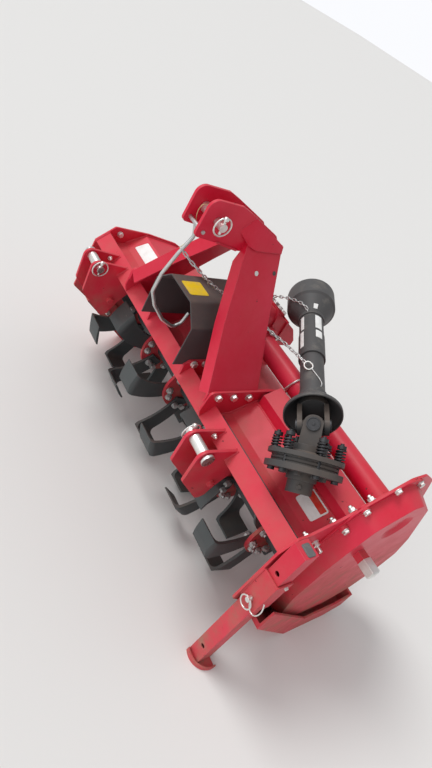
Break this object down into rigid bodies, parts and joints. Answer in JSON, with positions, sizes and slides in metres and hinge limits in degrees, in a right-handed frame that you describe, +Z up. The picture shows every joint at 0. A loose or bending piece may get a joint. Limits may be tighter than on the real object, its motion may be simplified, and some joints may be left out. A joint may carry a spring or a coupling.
{
  "type": "rotary tiller",
  "caption": "Three-point rotary tiller with a hooded tined rotor, side chain drive, gearbox, hitch mast, skids, parking stand and a loose driveline with slip clutch",
  "frame": {"origin": "midway between the two lower hitch pins, on their common axis", "axes": "+X along the rotor towards the chain case, +Y to the rear, +Z up"},
  "size_m": [1.289, 0.6754, 0.8982],
  "materials": {
    "red_paint": "gloss red paint, scuffed at the edges",
    "grey_green_paint": "dull dark grey-green paint",
    "zinc": "bright zinc plate",
    "steel": "bare machined steel, lightly oiled",
    "black_sheet": "matt black sheet",
    "black_plastic": "dull black plastic",
    "dark_casting": "dark painted casting",
    "spring_steel": "black oiled spring steel"
  },
  "bodies": {
    "frame": {"case_plug": "zinc", "chain_case_cover": "red_paint", "clutch_bolts": "zinc", "clutch_springs": "spring_steel", "deck": "red_paint", "drive_tube": "red_paint", "driveline_shaft": "dark_casting", "end_plate_far": "red_paint", "end_plate_near": "red_paint", "front_bar": "red_paint", "gearbox": "red_paint", "gearbox_mount": "red_paint", "guard_far": "black_plastic", "guard_near": "black_plastic", "hinge_eyes": "red_paint", "hinge_rod": "zinc", "hook_rod": "zinc", "lower_clevis_far": "red_paint", "lower_clevis_near": "red_paint", "lower_pin_far": "zinc", "lower_pin_near": "zinc", "lynch_pins": "zinc", "mast_foot_far": "red_paint", "mast_foot_near": "red_paint", "mast_leg_far": "red_paint", "mast_leg_near": "red_paint", "pto_shield": "black_sheet", "rotor_bearings": "red_paint", "shield_brackets": "red_paint", "skid_far": "red_paint", "skid_near": "red_paint", "slip_clutch": "dark_casting", "stand_pin": "zinc", "stand_sleeve": "red_paint", "top_link_plates": "red_paint", "top_pin": "zinc", "tube_tray": "red_paint"},
    "rotor": {"rotor_flanges": "grey_green_paint", "rotor_tube": "grey_green_paint", "tines": "grey_green_paint"},
    "input": {"input_shaft": "steel"},
    "gate": {"tailgate": "red_paint"},
    "stand": {"stand_foot": "red_paint", "stand_leg": "red_paint"}
  },
  "joints": [
    {"name": "rotor_spin", "type": "hinge", "parent": "frame", "child": "rotor", "pos_m": [0, 0.296, -0.232], "axis": [1, 0, 0], "continuous": true},
    {"name": "input_spin", "type": "hinge", "parent": "frame", "child": "input", "pos_m": [0, 0.15, 0.112], "axis": [0, -1, 0], "continuous": true},
    {"name": "tailgate_lift", "type": "hinge", "parent": "frame", "child": "gate", "pos_m": [0, 0.53221, -0.15978], "axis": [1, 0, 0], "range_deg": [0, 55]},
    {"name": "stand_slide", "type": "slide", "parent": "frame", "child": "stand", "axis": [0, 0, 1], "range_m": [0, 0.258]}
  ],
  "couplings": [
    {"joint": "input_spin", "follows": "rotor_spin", "ratio": 2.57}
  ]
}
